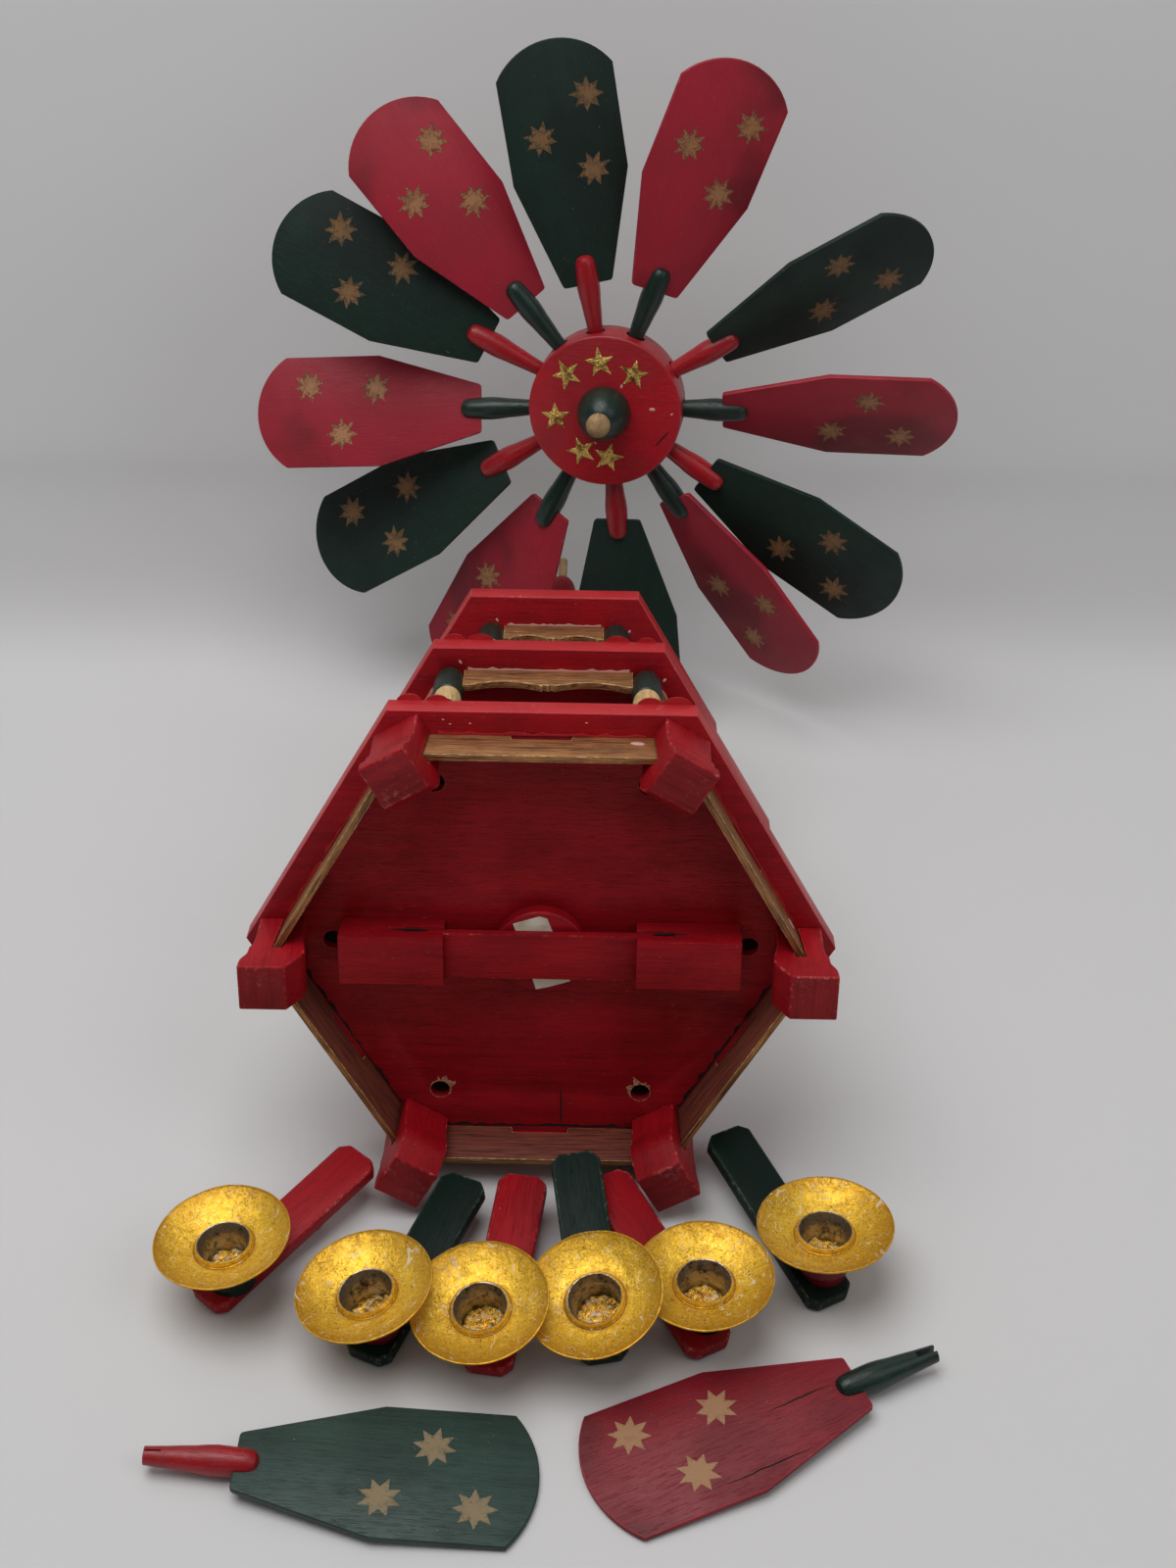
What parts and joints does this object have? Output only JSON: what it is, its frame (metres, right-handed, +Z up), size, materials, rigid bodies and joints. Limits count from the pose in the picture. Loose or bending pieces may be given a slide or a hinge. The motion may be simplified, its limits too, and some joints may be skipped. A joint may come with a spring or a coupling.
{
  "type": "christmas pyramid",
  "caption": "Wooden Christmas pyramid taken apart: hexagonal body lying on its side, bladed rotor behind it, candle arms with gold dishes and spare blades in front.",
  "frame": {"origin": "bottom centre of the bounding box of all the pieces as they lie, on the surface they lie on", "axes": "+Z up, +X to the right and +Y away from a viewer in front, who sees the underside of the lying body"},
  "size_m": [0.2892, 0.5054, 0.2833],
  "materials": {
    "red_paint": "worn red gloss paint on wood",
    "green_paint": "worn dark green paint on wood",
    "bronze_paint": "worn bronze paint over wood grain",
    "gold_metal": "hammered and tarnished gold lacquered metal",
    "clear_glass": "clear glass bearing cup"
  },
  "bodies": {
    "pyramid_body": {"base_deck": "red_paint", "foot_1": "red_paint", "foot_2": "red_paint", "foot_3": "red_paint", "foot_4": "red_paint", "foot_5": "red_paint", "foot_6": "red_paint", "base_rail_1": "bronze_paint", "base_rail_2": "bronze_paint", "base_rail_3": "bronze_paint", "base_rail_4": "bronze_paint", "base_rail_5": "bronze_paint", "base_rail_6": "bronze_paint", "bearing_slat": "red_paint", "slat_block_right": "red_paint", "slat_block_left": "red_paint", "bearing_plug": "red_paint", "bearing_cup": "clear_glass", "lower_pillar_1": "green_paint", "lower_pillar_2": "green_paint", "lower_pillar_3": "green_paint", "lower_pillar_4": "green_paint", "lower_pillar_5": "green_paint", "lower_pillar_6": "green_paint", "middle_deck": "red_paint", "top_deck": "red_paint"},
    "spindle": {"spindle": "red_paint", "turntable_1": "red_paint", "turntable_2": "red_paint", "turntable_3": "red_paint"},
    "rotor": {"rotor_hub": "red_paint", "rotor_finial": "green_paint"},
    "blade_1": {"rotor_blade_1": "green_paint"},
    "blade_2": {"rotor_blade_2": "red_paint"},
    "blade_3": {"rotor_blade_3": "green_paint"},
    "blade_4": {"rotor_blade_4": "red_paint"},
    "blade_5": {"rotor_blade_5": "green_paint"},
    "blade_6": {"rotor_blade_6": "red_paint"},
    "blade_7": {"rotor_blade_7": "green_paint"},
    "blade_8": {"rotor_blade_8": "red_paint"},
    "blade_9": {"rotor_blade_9": "green_paint"},
    "blade_10": {"rotor_blade_10": "red_paint"},
    "blade_11": {"rotor_blade_11": "green_paint"},
    "blade_12": {"rotor_blade_12": "red_paint"},
    "arm_1": {"candle_arm_1": "red_paint", "candle_cup_1": "gold_metal"},
    "arm_2": {"candle_arm_2": "green_paint", "candle_cup_2": "gold_metal"},
    "arm_3": {"candle_arm_3": "red_paint", "candle_cup_3": "gold_metal"},
    "arm_4": {"candle_arm_4": "green_paint", "candle_cup_4": "gold_metal"},
    "arm_5": {"candle_arm_5": "red_paint", "candle_cup_5": "gold_metal"},
    "arm_6": {"candle_arm_6": "green_paint", "candle_cup_6": "gold_metal"},
    "spare_1": {"spare_blade_1": "green_paint"},
    "spare_2": {"spare_blade_2": "red_paint"}
  },
  "joints": [
    {"name": "spindle_turn", "type": "hinge", "parent": "pyramid_body", "child": "spindle", "pos_m": [-0.01805, -0.08121, 0.08492], "axis": [0.0052, 0.985, -0.1727], "continuous": true},
    {"name": "rotor_lift", "type": "slide", "parent": "pyramid_body", "child": "rotor", "axis": [0, 0, 1], "range_m": [0, 0.06]},
    {"name": "blade_1_twist", "type": "hinge", "parent": "rotor", "child": "blade_1", "pos_m": [-0.00492, 0.19648, 0.18344], "axis": [-0.1701, 0.1854, 0.9678], "range_deg": [-10, 12]},
    {"name": "blade_2_twist", "type": "hinge", "parent": "rotor", "child": "blade_2", "pos_m": [0.01714, 0.1947, 0.18028], "axis": [0.3496, 0.1492, 0.9249], "range_deg": [-10, 12]},
    {"name": "blade_3_twist", "type": "hinge", "parent": "rotor", "child": "blade_3", "pos_m": [0.03788, 0.18993, 0.16242], "axis": [0.8599, 0.0362, 0.5092], "range_deg": [-10, 12]},
    {"name": "blade_4_twist", "type": "hinge", "parent": "rotor", "child": "blade_4", "pos_m": [0.04072, 0.18431, 0.14258], "axis": [0.9938, -0.1073, 0.0296], "range_deg": [-10, 12]},
    {"name": "blade_5_twist", "type": "hinge", "parent": "rotor", "child": "blade_5", "pos_m": [0.03454, 0.17965, 0.12206], "axis": [0.8334, -0.2283, -0.5033], "range_deg": [-10, 12]},
    {"name": "blade_6_twist", "type": "hinge", "parent": "rotor", "child": "blade_6", "pos_m": [0.02512, 0.18076, 0.11166], "axis": [0.5933, -0.201, -0.7795], "range_deg": [-10, 12]},
    {"name": "blade_7_twist", "type": "hinge", "parent": "rotor", "child": "blade_7", "pos_m": [0.00629, 0.18063, 0.10403], "axis": [0.0997, -0.2035, -0.974], "range_deg": [-2, 8]},
    {"name": "blade_8_twist", "type": "hinge", "parent": "rotor", "child": "blade_8", "pos_m": [-0.01632, 0.18632, 0.10348], "axis": [-0.4428, -0.05, -0.8952], "range_deg": [-10, 12]},
    {"name": "blade_9_twist", "type": "hinge", "parent": "rotor", "child": "blade_9", "pos_m": [-0.03351, 0.19108, 0.11802], "axis": [-0.8365, 0.0614, -0.5445], "range_deg": [-10, 12]},
    {"name": "blade_10_twist", "type": "hinge", "parent": "rotor", "child": "blade_10", "pos_m": [-0.03897, 0.19242, 0.13755], "axis": [-0.9911, 0.0952, -0.0929], "range_deg": [-10, 12]},
    {"name": "blade_11_twist", "type": "hinge", "parent": "rotor", "child": "blade_11", "pos_m": [-0.03762, 0.1953, 0.16118], "axis": [-0.8866, 0.1518, 0.4369], "range_deg": [-6, 12]},
    {"name": "blade_12_twist", "type": "hinge", "parent": "rotor", "child": "blade_12", "pos_m": [-0.02557, 0.19731, 0.17444], "axis": [-0.6341, 0.2006, 0.7468], "range_deg": [-10, 12]},
    {"name": "arm_1_lift", "type": "slide", "parent": "pyramid_body", "child": "arm_1", "axis": [-0.303, -0.5051, 0.8081], "range_m": [0, 0.035]},
    {"name": "arm_5_lift", "type": "slide", "parent": "pyramid_body", "child": "arm_5", "axis": [0, -0.6, 0.8], "range_m": [0, 0.035]},
    {"name": "arm_4_lift", "type": "slide", "parent": "arm_5", "child": "arm_4", "axis": [0, -0.6, 0.8], "range_m": [0, 0.035]},
    {"name": "arm_3_lift", "type": "slide", "parent": "arm_4", "child": "arm_3", "axis": [-0.1741, -0.6963, 0.6963], "range_m": [0, 0.035]},
    {"name": "arm_2_lift", "type": "slide", "parent": "arm_3", "child": "arm_2", "axis": [-0.3487, -0.8137, 0.465], "range_m": [0, 0.035]},
    {"name": "arm_6_lift", "type": "slide", "parent": "pyramid_body", "child": "arm_6", "axis": [0.303, -0.5051, 0.8081], "range_m": [0, 0.035]},
    {"name": "spare_1_lift", "type": "slide", "parent": "pyramid_body", "child": "spare_1", "axis": [0, 0, 1], "range_m": [0, 0.035]},
    {"name": "spare_2_lift", "type": "slide", "parent": "pyramid_body", "child": "spare_2", "axis": [0, -0.6, 0.8], "range_m": [0, 0.035]}
  ]
}
